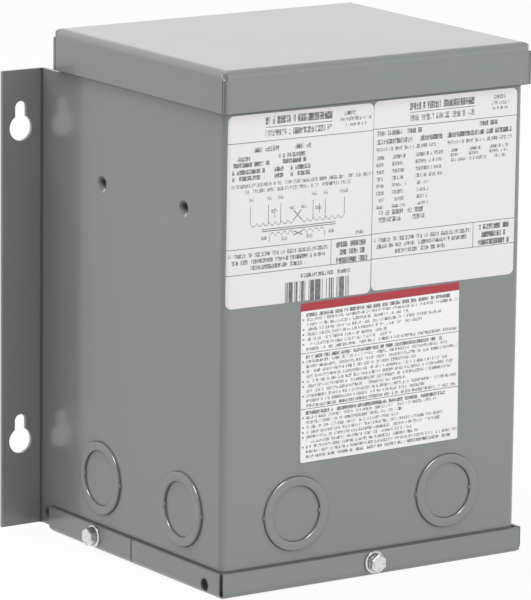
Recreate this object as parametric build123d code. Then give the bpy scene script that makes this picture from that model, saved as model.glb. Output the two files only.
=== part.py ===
from build123d import *
import os

# Small wall-mount transformer, potted in a rainproof case of bent sheet steel.
# Millimetres. X = 0 is the plane of symmetry, the front faces -Y, +Z is up and
# Z = 0 is the underside of the bottom covers. Y = 0 is midway between the front
# face of the case and the plane of the wall.

# Sheet, bends and clearances
sheet = 1.5
bend_radius = 1.5
slip = 0.4
joint_gap = 0.4
seat_gap = 0.05
cut_over = 6.0

# Case: one sheet bent into front, sides and two wall flanges
case_height = 210.0
case_width = 142.8
case_depth = 136.9
wall_flange_width = 18.8
wall_flange_gap = 1.0
back_recess = 15.0
back_return = 14.0

# Keyholes in the wall flanges, with the slot above the entry hole
keyhole_from_edge = 8.7
keyhole_from_top = 23.9
keyhole_from_floor = 37.7
keyhole_entry_radius = 5.3
keyhole_slot_radius = 2.65
keyhole_rise = 8.4

# Covers
top_skirt = 17.0
bottom_skirt = 10.5
bottom_front_slip = 0.9
bottom_rear_slip = 2.8
seam_from_front = 63.2
mitre_width = 1.3
mitre_length = 5.0
mitre_foot = 1.4
relief_size = 2.4
relief_drop = 2.3

# Knockouts: a raised ring tied to the wall, round a level slug tied to the ring
ring_radius = 15.1
slug_radius = 11.2
knockout_step = 1.0
knockout_height = 30.2
shear_gap = 0.1
tie_width = 1.6
tie_reach = 0.6
tie_height = 0.6
front_knockout_span = 73.4
side_knockout_from_front = 29.4
side_knockout_from_back = 32.5

# Dimples pressed into the sides above the knockouts
dimple_radius = 3.4
dimple_depth = 2.1
dimple_from_top = 58.7
dimple_tip_share = 0.3

# Plain holes: low in the side walls by the flanges, and in the front cover's sides
vent_radius = 2.1
vent_from_wall = 7.3
vent_height = 7.4
spare_radius = 2.5
spare_from_front = 9.3
spare_height = 4.05

# Hexagon screws with a washer face
screw_radius = 2.0
screw_length = 11.0
screw_height = 6.0
screw_clearance = 0.1
skirt_clearance = 0.6
washer_radius = 4.6
washer_thickness = 0.9
hexagon_flats = 6.6
hexagon_height = 3.0
hexagon_chamfer = 0.5
side_screw_from_return = 16.6

# Potted core and coil
core_floor = 62.0
core_top_gap = 4.0
core_edge = 3.0
dimple_pocket = 0.4

# Planes that the pieces share. The case's bare edges rest in the bends of the covers.
bend_outer = bend_radius + sheet
side_x = case_width / 2
inner_x = side_x - sheet
flange_x = side_x + wall_flange_width
front_y = -case_depth / 2
wall_y = case_depth / 2
back_y = wall_y - back_recess
bend_reach = bend_radius - min(slip, bend_radius)
edge_lift = bend_radius - (bend_radius**2 - bend_reach**2) ** 0.5 + seat_gap
case_bottom = sheet + edge_lift
case_top = case_height - sheet - edge_lift
flange_top = case_height - top_skirt - wall_flange_gap
cover_x = side_x + slip + sheet
top_front_y = front_y - slip - sheet
top_rear_y = back_y + slip + sheet
bottom_front_y = front_y - bottom_front_slip - sheet
bottom_rear_y = back_y + bottom_rear_slip + sheet
seam_y = front_y + seam_from_front
keyhole_heights = (keyhole_from_floor, flange_top - keyhole_from_top)
dimple_height = case_height - dimple_from_top
side_columns = (front_y + side_knockout_from_front, back_y - side_knockout_from_back)
mirror_signs = {"left": -1, "right": 1}
on_base = (Align.CENTER, Align.CENTER, Align.MIN)
under_base = (Align.CENTER, Align.CENTER, Align.MAX)


def span_box(xs, ys, zs):
    """Box between two values on each axis, in either order."""
    low = [min(pair) for pair in (xs, ys, zs)]
    size = [max(pair) - min(pair) for pair in (xs, ys, zs)]
    return Pos(*low) * Box(*size, align=Align.MIN)


def front_plane(x, z, y):
    """Plane on a front face, with its own Z pointing out to the front."""
    return Plane(origin=(x, y, z), x_dir=(1, 0, 0), z_dir=(0, -1, 0))


def side_plane(sign, y, z, x):
    """Plane on a left or right face, with its own Z pointing out of that side."""
    return Plane(origin=(sign * x, y, z), x_dir=(0, 1, 0), z_dir=(sign, 0, 0))


def front_screw_plane(y):
    """Plane of the screw in the middle of the front."""
    return front_plane(0, screw_height, y)


def side_screw_plane(sign, x):
    """Plane of the screw in one side."""
    y = back_y - back_return - side_screw_from_return
    return side_plane(sign, y, screw_height, x)


def knockout_planes():
    """Name and plane of each knockout: two on the front and two on each side."""
    planes = {}
    for name, sign in mirror_signs.items():
        x = sign * front_knockout_span / 2
        planes[f"front_{name}"] = front_plane(x, knockout_height, front_y)
    for name, sign in mirror_signs.items():
        for end, y in zip(("front", "rear"), side_columns):
            planes[f"{name}_{end}"] = side_plane(sign, y, knockout_height, side_x)
    return planes


def bore(plane, radius):
    """Cutter for a round hole through one sheet."""
    return plane * Cylinder(radius, 2 * cut_over)


def bent_strip(outer_points, outer_radii, inner_points, inner_radii):
    """Cross-section of a bent sheet between its two faces, the second drawn back from the first's end."""
    outer_face = FilletPolyline(*outer_points, radius=outer_radii)
    inner_face = FilletPolyline(*inner_points, radius=inner_radii)
    ends = [Line(outer_face @ 1, inner_face @ 0), Line(inner_face @ 1, outer_face @ 0)]
    return make_face([outer_face, inner_face, *ends])


def case_section():
    """Cross-section of the case: front, two sides and two wall flanges."""
    flange_face_y = wall_y - sheet
    outer_points = [
        (-flange_x, flange_face_y),
        (-side_x, flange_face_y),
        (-side_x, front_y),
        (side_x, front_y),
        (side_x, flange_face_y),
        (flange_x, flange_face_y),
    ]
    inner_points = [
        (flange_x, wall_y),
        (inner_x, wall_y),
        (inner_x, front_y + sheet),
        (-inner_x, front_y + sheet),
        (-inner_x, wall_y),
        (-flange_x, wall_y),
    ]
    outer_radii = [bend_radius, bend_outer, bend_outer, bend_radius]
    inner_radii = [bend_outer, bend_radius, bend_radius, bend_outer]
    return bent_strip(outer_points, outer_radii, inner_points, inner_radii)


def keyhole(x, z):
    """Cutter for one keyhole."""
    entry = bore(front_plane(x, z, wall_y), keyhole_entry_radius)
    slot_end = bore(front_plane(x, z + keyhole_rise, wall_y), keyhole_slot_radius)
    slot = span_box(
        (x - keyhole_slot_radius, x + keyhole_slot_radius),
        (wall_y - cut_over, wall_y + cut_over),
        (z, z + keyhole_rise),
    )
    return entry + slot_end + slot


def dimple(plane, rim, base):
    """Blunt cone of a dimple, its rim at the given base above the plane and its tip inwards."""
    return plane * Pos(0, 0, base) * Cone(dimple_tip_share * rim, rim, dimple_depth, align=under_base)


def case_wrap():
    """The bent case with its keyholes, knockout holes, dimples, vents and screw holes."""
    wrap = Pos(0, 0, case_bottom) * extrude(case_section(), case_top - case_bottom)
    for sign in mirror_signs.values():
        wrap -= span_box(
            (sign * (inner_x - bend_outer), sign * (flange_x + cut_over)),
            (back_y, wall_y + cut_over),
            (flange_top, case_height),
        )
        for z in keyhole_heights:
            wrap -= keyhole(sign * (flange_x - keyhole_from_edge), z)
        for y in side_columns:
            plane = side_plane(sign, y, dimple_height, side_x)
            wrap += dimple(plane, dimple_radius + sheet / 2, -sheet)
            wrap -= dimple(plane, dimple_radius, 0)
        wrap -= bore(side_plane(sign, wall_y - vent_from_wall, vent_height, side_x), vent_radius)
        wrap -= bore(side_screw_plane(sign, side_x), screw_radius + screw_clearance)
    for plane in knockout_planes().values():
        wrap -= bore(plane, ring_radius + shear_gap)
    wrap -= bore(front_screw_plane(front_y), screw_radius + screw_clearance)
    return wrap


def back_plate():
    """Back of the case: a plate with a return bent forward along each side wall."""
    return_y = back_y - back_return
    lining_x = inner_x - sheet
    face_y = back_y - sheet
    outer_points = [(-inner_x, return_y), (-inner_x, back_y), (inner_x, back_y), (inner_x, return_y)]
    inner_points = [(lining_x, return_y), (lining_x, face_y), (-lining_x, face_y), (-lining_x, return_y)]
    section = bent_strip(outer_points, bend_outer, inner_points, bend_radius)
    return Pos(0, 0, case_bottom) * extrude(section, case_top - case_bottom)


def pan(low_y, high_y, skirt, folded):
    """Flat plate at Z = 0 with a skirt bent up along both sides and each folded end."""
    inner_low_y = low_y + sheet if "front" in folded else low_y - cut_over
    inner_high_y = high_y - sheet if "rear" in folded else high_y + cut_over
    lining_x = cover_x - sheet
    outer = span_box((-cover_x, cover_x), (low_y, high_y), (0, skirt))
    inner = span_box((-lining_x, lining_x), (inner_low_y, inner_high_y), (sheet, skirt + cut_over))
    plate_edges = outer.edges().group_by(Axis.Z)[0]
    bends = plate_edges.filter_by(Axis.Y)
    ends = plate_edges.filter_by(Axis.X).sort_by(Axis.Y)
    if "front" in folded:
        bends.append(ends[0])
    if "rear" in folded:
        bends.append(ends[-1])
    return fillet(bends, bend_outer) - fillet(inner.edges().group_by(Axis.Z)[0], bend_radius)


def top_cover():
    """Slip-over lid: full-width front and rear skirts, with the side skirts butted between them."""
    lid = pan(top_front_y, top_rear_y, top_skirt, ("front", "rear"))
    for sign in mirror_signs.values():
        for y, inward in ((top_front_y, 1), (top_rear_y, -1)):
            lid -= span_box(
                (sign * (cover_x + cut_over), sign * (cover_x - sheet)),
                (y + inward * sheet, y + inward * (sheet + joint_gap)),
                (relief_drop, top_skirt + cut_over),
            )
            corner = Plane(origin=(sign * cover_x, y, relief_drop), z_dir=(sign, -inward, 0))
            lid -= corner * Box(relief_size, relief_size, 2 * bend_outer)
    return Pos(0, 0, case_height) * mirror(lid, about=Plane.XY)


def mitre_slot(sign):
    """Cutter for the open mitre where the front cover's skirts meet."""
    slot = Box(mitre_width, 2 * mitre_length, bottom_skirt + cut_over, align=on_base)
    return Pos(sign * cover_x, bottom_front_y, mitre_foot) * Rot(0, 0, sign * 45) * slot


def bottom_front_cover():
    """Front half of the bottom, with a screw in front and a spare hole in each side."""
    cover = pan(bottom_front_y, seam_y - joint_gap / 2, bottom_skirt, ("front",))
    for sign in mirror_signs.values():
        cover -= mitre_slot(sign)
        cover -= bore(side_plane(sign, front_y + spare_from_front, spare_height, cover_x), spare_radius)
    cover -= bore(front_screw_plane(bottom_front_y), screw_radius + skirt_clearance)
    return cover


def bottom_rear_cover():
    """Rear half of the bottom, its rear skirt notched for the side walls, with a screw in each side."""
    cover = pan(seam_y + joint_gap / 2, bottom_rear_y, bottom_skirt, ("rear",))
    for sign in mirror_signs.values():
        cover -= span_box(
            (sign * (inner_x - slip), sign * (cover_x - sheet)),
            (bottom_rear_y - bend_outer, bottom_rear_y + cut_over),
            (sheet, bottom_skirt + cut_over),
        )
        cover -= bore(side_screw_plane(sign, cover_x), screw_radius + skirt_clearance)
    return cover


def knockout_ring(plane):
    """Ring of a knockout, pushed out by one step, with ties on the wall and on its slug."""
    inner_radius = slug_radius + shear_gap
    ring = Cylinder(ring_radius, sheet, align=under_base)
    ring = Pos(0, 0, knockout_step) * (ring - Cylinder(inner_radius, 2 * sheet))
    for sign in mirror_signs.values():
        for edge in (ring_radius, inner_radius):
            ends = (sign * (edge - tie_reach), sign * (edge + tie_reach))
            ring += span_box(ends, (-tie_width / 2, tie_width / 2), (0, tie_height))
    return plane * ring


def knockout_slug(plane):
    """Slug in the middle of a knockout, level with the wall."""
    return plane * Cylinder(slug_radius, sheet, align=under_base)


def cover_screw(plane):
    """Hexagon screw with two corners upright, its washer face on the skirt."""
    washer = Cylinder(washer_radius, washer_thickness, align=on_base)
    hexagon = RegularPolygon(hexagon_flats / 2, 6, major_radius=False, rotation=30)
    head = Pos(0, 0, washer_thickness) * extrude(hexagon, hexagon_height)
    head = chamfer(head.edges().group_by(Axis.Z)[-1], hexagon_chamfer)
    shank = Cylinder(screw_radius, screw_length, align=under_base)
    return plane * (washer + head + shank)


def potted_core():
    """Core and coil cast in compound, filling the case above the wiring space."""
    top = case_top - core_top_gap
    core = span_box((-inner_x, inner_x), (front_y + sheet, back_y - sheet), (core_floor, top))
    core = fillet(core.edges().filter_by(Axis.Z).group_by(Axis.Y)[0], core_edge)
    pocket = dimple_radius + sheet / 2 + dimple_pocket
    for sign in mirror_signs.values():
        outside_x = sign * (inner_x + cut_over)
        core -= span_box(
            (sign * (inner_x - sheet - bend_radius), outside_x),
            (back_y - back_return, back_y),
            (core_floor - cut_over, top + cut_over),
        )
        for y in side_columns:
            core -= span_box(
                (sign * (inner_x - dimple_depth - dimple_pocket), outside_x),
                (y - pocket, y + pocket),
                (dimple_height - pocket, dimple_height + pocket),
            )
    return core


pieces = {
    "enclosure_wrap": case_wrap(),
    "back_plate": back_plate(),
    "top_cover": top_cover(),
    "bottom_front_cover": bottom_front_cover(),
    "bottom_rear_cover": bottom_rear_cover(),
    "potted_core": potted_core(),
    "front_cover_screw": cover_screw(front_screw_plane(bottom_front_y)),
}
for side, sign in mirror_signs.items():
    pieces[f"{side}_cover_screw"] = cover_screw(side_screw_plane(sign, cover_x))
for place, plane in knockout_planes().items():
    pieces[f"{place}_knockout_ring"] = knockout_ring(plane)
    pieces[f"{place}_knockout_slug"] = knockout_slug(plane)

os.makedirs("parts", exist_ok=True)
for name, piece in pieces.items():
    export_step(piece, f"parts/{name}.step")
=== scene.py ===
"""Looks of a small wall-mount transformer: enamel, knockouts, screws, plates and the studio round it."""

import logging
import math
from dataclasses import dataclass, field, fields, replace
from enum import Enum
from typing import Callable, Iterable, Optional, Sequence, Union

import bmesh
import bpy
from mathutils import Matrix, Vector


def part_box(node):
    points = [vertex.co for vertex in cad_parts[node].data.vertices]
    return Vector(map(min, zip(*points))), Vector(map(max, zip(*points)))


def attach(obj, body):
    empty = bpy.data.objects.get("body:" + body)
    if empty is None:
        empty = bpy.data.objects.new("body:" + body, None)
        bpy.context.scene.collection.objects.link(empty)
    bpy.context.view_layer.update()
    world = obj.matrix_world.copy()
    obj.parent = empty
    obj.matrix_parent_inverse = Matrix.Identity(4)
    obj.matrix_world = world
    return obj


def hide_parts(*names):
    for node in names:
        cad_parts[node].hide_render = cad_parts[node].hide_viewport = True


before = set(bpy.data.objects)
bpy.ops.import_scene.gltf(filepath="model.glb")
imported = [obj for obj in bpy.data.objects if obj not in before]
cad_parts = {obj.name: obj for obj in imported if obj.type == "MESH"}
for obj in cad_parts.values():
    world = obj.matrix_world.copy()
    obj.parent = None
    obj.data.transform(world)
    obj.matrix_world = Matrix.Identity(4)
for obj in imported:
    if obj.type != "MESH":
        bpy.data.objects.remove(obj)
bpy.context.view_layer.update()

MM = 0.001
BODY = "root"
LOG = logging.getLogger("transformer")

# Share of a soft line's shade that is left one spread away from it
FADE_BASE = 0.37

# Upward part of a face's normal above which the face counts as level
LEVEL_FACE = 0.99

# Width of a printed rule, in millimetres
RULE_LINE = 0.28

Colour = tuple[float, float, float]
Piece = bpy.types.Object
Material = bpy.types.Material
Socket = bpy.types.NodeSocket
Outputs = bpy.types.NodeOutputs
Inputs = bpy.types.NodeInputs
Value = Union[float, Socket]
Feed = Union[float, tuple, Socket]


class Wall(Enum):
    """Wall of the case, with the turn about Z that brings a front piece to face out of it."""

    FRONT = 0.0
    LEFT = -math.pi / 2
    RIGHT = math.pi / 2

    @classmethod
    def of(cls, node: str) -> "Wall":
        """Wall that a CAD node stands on, by the first word of its name."""
        return cls[node.split("_")[0].upper()]

    @property
    def out(self) -> Vector:
        """Direction that points out of the wall."""
        return Vector((math.sin(self.value), -math.cos(self.value), 0))


class Weight(Enum):
    """Weight of a printed row: how much of its fine pattern is ink."""

    LIGHT = 0.42
    PLAIN = 0.55
    HEAVY = 0.72


class Pick(Enum):
    """Kind of mesh element that a modelling step selects."""

    VERT = "VERT"
    EDGE = "EDGE"
    FACE = "FACE"


def corners(node: str) -> tuple[Vector, Vector]:
    """Lowest and highest corner of a CAD node at rest."""
    low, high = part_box(node)
    return Vector(low), Vector(high)


def middle(node: str) -> Vector:
    """Middle of a CAD node's box at rest."""
    low, high = corners(node)
    return (low + high) / 2


def direction(azimuth: float, elevation: float) -> Vector:
    """Unit vector from the object towards an angle round and above it, in radians."""
    level = math.cos(elevation)
    return Vector((math.sin(azimuth) * level, -math.cos(azimuth) * level, math.sin(elevation)))


class Bench:
    """Modelling steps that every new piece goes through."""

    merge_distance = 0.002 * MM
    smooth_angle = math.radians(35)

    @staticmethod
    def clear() -> None:
        """Leave edit mode and deselect every object."""
        if bpy.context.object and bpy.context.object.mode != "OBJECT":
            bpy.ops.object.mode_set(mode="OBJECT")
        bpy.ops.object.select_all(action="DESELECT")

    @staticmethod
    def take(piece: Piece) -> None:
        """Make one piece the active object and the only selected one.

        Args:
            piece: The piece to work on.
        """
        Bench.clear()
        bpy.context.view_layer.objects.active = piece
        piece.select_set(True)

    @staticmethod
    def edit(piece: Piece) -> None:
        """Open one piece in edit mode with nothing else selected."""
        Bench.take(piece)
        bpy.ops.object.mode_set(mode="EDIT")

    @staticmethod
    def select(piece: Piece, pick: Pick, wanted: Callable[..., bool]) -> None:
        """Select elements of the open piece by a test on each one.

        Args:
            piece: The piece that is open in edit mode.
            pick: Which kind of element the test looks at.
            wanted: Test that is given a vertex, edge or face.
        """
        bpy.ops.mesh.select_mode(type=pick.value)
        bpy.ops.mesh.select_all(action="DESELECT")
        mesh = bmesh.from_edit_mesh(piece.data)
        elements = {Pick.VERT: mesh.verts, Pick.EDGE: mesh.edges, Pick.FACE: mesh.faces}[pick]
        for element in elements:
            element.select_set(bool(wanted(element)))
        mesh.select_flush_mode()
        bmesh.update_edit_mesh(piece.data)

    @staticmethod
    def select_above(piece: Piece, level: float) -> None:
        """Select the edges of the open piece that lie wholly above a level."""
        Bench.select(piece, Pick.EDGE, lambda edge: all(vert.co.z > level for vert in edge.verts))

    @staticmethod
    def close() -> None:
        """Merge doubled points of the open piece, turn its faces outwards and leave edit mode."""
        bpy.ops.mesh.select_all(action="SELECT")
        bpy.ops.mesh.remove_doubles(threshold=Bench.merge_distance)
        bpy.ops.mesh.normals_make_consistent(inside=False)
        Bench.clear()

    @staticmethod
    def settle(piece: Piece) -> None:
        """Put the piece's place, turn and scale into its mesh."""
        Bench.take(piece)
        bpy.ops.object.transform_apply(location=True, rotation=True, scale=True)

    @staticmethod
    def cylinder(sides: int, radius: float, low: float, high: float) -> Piece:
        """Add a cylinder about the Z axis and open it in edit mode.

        Args:
            sides: How many sides it has.
            radius: Radius through its corners.
            low: Level of its lower end.
            high: Level of its upper end.

        Returns:
            The cylinder.
        """
        Bench.clear()
        bpy.ops.mesh.primitive_cylinder_add(
            vertices=sides, radius=radius, depth=high - low, location=(0, 0, (high + low) / 2)
        )
        piece = bpy.context.object
        Bench.settle(piece)
        Bench.edit(piece)
        return piece

    @staticmethod
    def unite(piece: Piece, others: Iterable[Piece]) -> None:
        """Fuse other solids into the piece and remove them.

        Args:
            piece: The piece that stays.
            others: The solids that become part of it.
        """
        for other in others:
            union = piece.modifiers.new("union", "BOOLEAN")
            union.operation = "UNION"
            union.solver = "EXACT"
            union.object = other
            Bench.take(piece)
            bpy.ops.object.modifier_apply(modifier=union.name)
            bpy.data.objects.remove(other, do_unlink=True)

    @staticmethod
    def smooth(piece: Piece) -> None:
        """Shade the piece smooth except across sharp edges."""
        Bench.take(piece)
        bpy.ops.object.shade_smooth_by_angle(angle=Bench.smooth_angle)

    @staticmethod
    def copy(piece: Piece, name: str) -> Piece:
        """Copy a piece with a mesh of its own.

        Args:
            piece: The piece to copy.
            name: Name of the copy.

        Returns:
            The copy.
        """
        twin = piece.copy()
        twin.data = piece.data.copy()
        twin.name = twin.data.name = name
        bpy.context.scene.collection.objects.link(twin)
        return twin

    @staticmethod
    def paint(piece: Piece, *materials: Material) -> None:
        """Give the piece its materials, the first one all over.

        Args:
            piece: The piece to paint.
            materials: One material or more.
        """
        piece.data.materials.clear()
        for material in materials:
            piece.data.materials.append(material)


class Graph:
    """Node tree being wired, with short ways to add nodes."""

    mix_inputs = (0, 6, 7)
    mix_result = 2

    def __init__(self, tree: bpy.types.NodeTree) -> None:
        """Keep the tree that nodes are added to."""
        self.tree = tree

    def feed(self, target: Socket, value: Feed) -> None:
        """Link a socket to an input, or set the input's own value.

        Args:
            target: The input.
            value: A socket of another node, or a plain value.
        """
        if isinstance(value, bpy.types.NodeSocket):
            self.tree.links.new(value, target)
        else:
            target.default_value = value

    def feed_named(self, node: bpy.types.Node, inputs: dict[str, Feed]) -> None:
        """Feed a node's inputs by their names, with underscores for spaces."""
        for name, value in inputs.items():
            self.feed(node.inputs[name.replace("_", " ")], value)

    def add(self, kind: str, **inputs: Feed) -> bpy.types.Node:
        """Add a node and feed its inputs.

        Args:
            kind: Blender's name of the node type.
            inputs: Sockets or values by input name, with underscores for spaces.

        Returns:
            The new node.
        """
        node = self.tree.nodes.new(kind)
        self.feed_named(node, inputs)
        return node

    def math(self, operation: str, *values: Value) -> Socket:
        """Add a Math node.

        Args:
            operation: What it works out.
            values: Its inputs in order.

        Returns:
            Its result.
        """
        node = self.tree.nodes.new("ShaderNodeMath")
        node.operation = operation
        for target, value in zip(node.inputs, values):
            self.feed(target, value)
        return node.outputs[0]

    def product(self, first: Value, *others: Value) -> Socket:
        """Multiply two or more values in turn.

        Args:
            first: The first value.
            others: What it is multiplied by.

        Returns:
            The product.
        """
        for value in others:
            first = self.math("MULTIPLY", first, value)
        return first

    def squares(self, first: Socket, second: Socket) -> Socket:
        """Sum of the squares of two values."""
        return self.math("ADD", self.product(first, first), self.product(second, second))

    def vector(self, operation: str, first: Socket, second: Socket) -> Outputs:
        """Add a Vector Math node.

        Args:
            operation: What it works out.
            first: Its first vector.
            second: Its second vector.

        Returns:
            Its outputs.
        """
        node = self.tree.nodes.new("ShaderNodeVectorMath")
        node.operation = operation
        self.feed(node.inputs[0], first)
        self.feed(node.inputs[1], second)
        return node.outputs

    def mix(self, factor: Value, first: Feed, second: Feed) -> Socket:
        """Mix two colours.

        Args:
            factor: Share of the second colour.
            first: Colour at factor 0.
            second: Colour at factor 1.

        Returns:
            The mixed colour.
        """
        node = self.tree.nodes.new("ShaderNodeMix")
        node.data_type = "RGBA"
        for index, value in zip(self.mix_inputs, (factor, first, second)):
            self.feed(node.inputs[index], value)
        return node.outputs[self.mix_result]

    def blend(self, factor: Value, first: Socket, second: Socket) -> Socket:
        """Blend two shaders.

        Args:
            factor: Share of the second shader.
            first: Shader at factor 0.
            second: Shader at factor 1.

        Returns:
            The blended shader.
        """
        node = self.tree.nodes.new("ShaderNodeMixShader")
        for target, value in zip(node.inputs, (factor, first, second)):
            self.feed(target, value)
        return node.outputs[0]

    def within(self, value: Socket, low: Value, high: Value) -> Socket:
        """Mask that is one where the value lies between two limits."""
        above = self.math("GREATER_THAN", value, low)
        return self.product(above, self.math("LESS_THAN", value, high))

    def noise(self, vector: Socket, scale: Value, detail: float = 2.0) -> Socket:
        """Soft noise value of the given scale."""
        node = self.add("ShaderNodeTexNoise", Vector=vector, Scale=scale, Detail=detail)
        return node.outputs[0]

    def patchy(self, noise: Socket, least: float, swing: float) -> Socket:
        """Level that a noise lifts from its least by up to a swing."""
        return self.math("ADD", least, self.product(noise, swing))

    def hash(self, x: Value, y: Value, z: Value) -> Socket:
        """Random value that is fixed for each set of three numbers."""
        cell = self.add("ShaderNodeCombineXYZ", X=x, Y=y, Z=z)
        return self.add("ShaderNodeTexWhiteNoise", Vector=cell.outputs[0]).outputs["Value"]


def floats(*names: str) -> tuple[tuple[str, str], ...]:
    """Number sockets of the given names."""
    return tuple((name, "Float") for name in names)


class EffectGroup:
    """Shader node group with named sockets, built once and placed in several materials."""

    name = "effect"
    place_in = ("Vector", "Vector")
    sockets_in: Sequence[tuple[str, str]] = ()
    sockets_out: Sequence[tuple[str, str]] = ()

    @classmethod
    def takes(cls) -> Sequence[tuple[str, str]]:
        """Sockets that the group takes besides the place."""
        return cls.sockets_in

    @classmethod
    def tree(cls) -> bpy.types.NodeTree:
        """Build the group's tree at the first call and hand out the same one later.

        Returns:
            The group's tree.
        """
        if cls.name in bpy.data.node_groups:
            return bpy.data.node_groups[cls.name]
        tree = bpy.data.node_groups.new(cls.name, "ShaderNodeTree")
        for way, sockets in (("INPUT", (cls.place_in, *cls.takes())), ("OUTPUT", cls.sockets_out)):
            for name, kind in sockets:
                tree.interface.new_socket(name, in_out=way, socket_type=f"NodeSocket{kind}")
        given = tree.nodes.new("NodeGroupInput").outputs
        result = tree.nodes.new("NodeGroupOutput").inputs
        cls.wire(Graph(tree), given, result)
        return tree

    @classmethod
    def wire(cls, graph: Graph, given: Outputs, result: Inputs) -> None:
        """Wire the group between its sockets.

        Args:
            graph: The group's graph.
            given: What the group is given.
            result: What it puts out.
        """
        raise NotImplementedError

    @classmethod
    def place(cls, graph: Graph, **inputs: Feed) -> Outputs:
        """Place the group in a material.

        Args:
            graph: The material's graph.
            inputs: Sockets or values by input name, with underscores for spaces.

        Returns:
            The group's outputs.
        """
        node = graph.tree.nodes.new("ShaderNodeGroup")
        node.node_tree = cls.tree()
        graph.feed_named(node, inputs)
        return node.outputs


class OrangePeel(EffectGroup):
    """Sprayed or rolled coat: slow colour drift, fine dimpled skin and uneven gloss."""

    name = "orange peel"
    sockets_in = (
        ("Colour", "Color"),
        *floats("Drift", "Drift size", "Peel size", "Peel depth", "Gloss", "Gloss spread"),
    )
    sockets_out = (("Colour", "Color"), *floats("Roughness", "Height"))
    noise_middle = 0.5
    drift_detail = 4.0
    peel_detail = 1.0
    grain_detail = 2.0
    grain_finer = 5.0

    @classmethod
    def wire(cls, graph: Graph, given: Outputs, result: Inputs) -> None:
        """Drift the colour, roughen the gloss and raise the peel.

        Args:
            graph: The group's graph.
            given: What the group is given.
            result: What it puts out.
        """
        slow = graph.noise(given["Vector"], graph.math("DIVIDE", 1.0, given["Drift size"]), cls.drift_detail)
        peel_scale = graph.math("DIVIDE", 1.0, given["Peel size"])
        peel = graph.noise(given["Vector"], peel_scale, cls.peel_detail)
        fine = graph.noise(given["Vector"], graph.product(peel_scale, cls.grain_finer), cls.grain_detail)
        swing = graph.math("SUBTRACT", slow, cls.noise_middle)
        grain = graph.math("SUBTRACT", fine, cls.noise_middle)
        change = graph.product(graph.math("ADD", swing, grain), given["Drift"])
        level = graph.math("ADD", 1.0, change)
        tint = graph.add("ShaderNodeCombineXYZ", X=level, Y=level, Z=level)
        scaled = graph.vector("MULTIPLY", given["Colour"], tint.outputs[0])
        graph.feed(result["Colour"], scaled["Vector"])
        uneven = graph.product(swing, given["Gloss spread"])
        graph.feed(result["Roughness"], graph.math("ADD", given["Gloss"], uneven))
        graph.feed(result["Height"], graph.product(peel, given["Peel depth"]))


class EdgeRub(EffectGroup):
    """Sharp sheet edges: a rounded normal and a broken mask where paint thins over them."""

    name = "edge rub"
    sockets_in = floats("Radius", "Patch size")
    sockets_out = (("Normal", "Vector"), *floats("Mask"))
    samples = 4
    patch_detail = 3.0
    gain = 4.0

    @classmethod
    def wire(cls, graph: Graph, given: Outputs, result: Inputs) -> None:
        """Compare the rounded normal with the flat one.

        Args:
            graph: The group's graph.
            given: What the group is given.
            result: What it puts out.
        """
        rounded = graph.add("ShaderNodeBevel", Radius=given["Radius"])
        rounded.samples = cls.samples
        flat = graph.add("ShaderNodeNewGeometry").outputs["True Normal"]
        agree = graph.vector("DOT_PRODUCT", rounded.outputs[0], flat)
        turned = graph.math("SUBTRACT", 1.0, agree["Value"])
        patch_scale = graph.math("DIVIDE", 1.0, given["Patch size"])
        patch = graph.noise(given["Vector"], patch_scale, cls.patch_detail)
        broken = graph.product(turned, patch, cls.gain)
        graph.feed(result["Normal"], rounded.outputs[0])
        graph.feed(result["Mask"], graph.math("MINIMUM", broken, 1.0))


class CreviceShade(EffectGroup):
    """Painted shade that ambient occlusion finds in seams, pits and inner corners, broken up by patches."""

    name = "crevice grime"
    sockets_in = floats("Reach", "Patch size", "Amount")
    sockets_out = floats("Mask", "Open")
    samples = 8
    patch_detail = 3.0
    patch_least = 0.7
    patch_swing = 0.6
    open_power = 6.0

    @classmethod
    def wire(cls, graph: Graph, given: Outputs, result: Inputs) -> None:
        """Measure how shut in the surface is and break the edge of the painted shade.

        Args:
            graph: The group's graph.
            given: What the group is given.
            result: What it puts out.
        """
        shut = graph.add("ShaderNodeAmbientOcclusion", Distance=given["Reach"])
        shut.samples = cls.samples
        closed = graph.math("SUBTRACT", 1.0, shut.outputs["AO"])
        patch_scale = graph.math("DIVIDE", 1.0, given["Patch size"])
        patch = graph.noise(given["Vector"], patch_scale, cls.patch_detail)
        uneven = graph.patchy(patch, cls.patch_least, cls.patch_swing)
        # Painted shade: the more shut in the surface is, the darker it is painted
        crevice_shade = graph.product(closed, uneven, given["Amount"])
        graph.feed(result["Mask"], graph.math("MINIMUM", crevice_shade, 1.0))
        graph.feed(result["Open"], graph.math("POWER", shut.outputs["AO"], cls.open_power))


@dataclass(frozen=True)
class Mark(EffectGroup):
    """Shape that a node group of its own draws, with a field for each of the group's inputs.

    The fields hold numbers in a mark that a material places, and sockets while the group is wired.
    """

    sockets_out = floats("Mask")

    @classmethod
    def takes(cls) -> Sequence[tuple[str, str]]:
        """Number sockets for the mark's fields."""
        return floats(*(each.name.capitalize() for each in fields(cls)))

    @classmethod
    def wire(cls, graph: Graph, given: Outputs, result: Inputs) -> None:
        """Draw a mark whose sizes are the group's inputs.

        Args:
            graph: The group's graph.
            given: What the group is given.
            result: What it puts out.
        """
        place = graph.add("ShaderNodeSeparateXYZ", Vector=given["Vector"]).outputs
        mark = cls(**{each.name: given[each.name.capitalize()] for each in fields(cls)})
        graph.feed(result["Mask"], mark.draw(graph, place))

    def draw(self, graph: Graph, place: Outputs) -> Socket:
        """Work out the mask from the mark's sizes.

        Args:
            graph: The group's graph.
            place: The point's X, Y and Z.

        Returns:
            The mask, from 0 to 1.
        """
        raise NotImplementedError

    def mask(self, graph: Graph, place: Socket) -> Socket:
        """Place the mark in a material with its own sizes."""
        sizes = {each.name.capitalize(): getattr(self, each.name) for each in fields(self)}
        return self.place(graph, Vector=place, **sizes)["Mask"]


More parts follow.
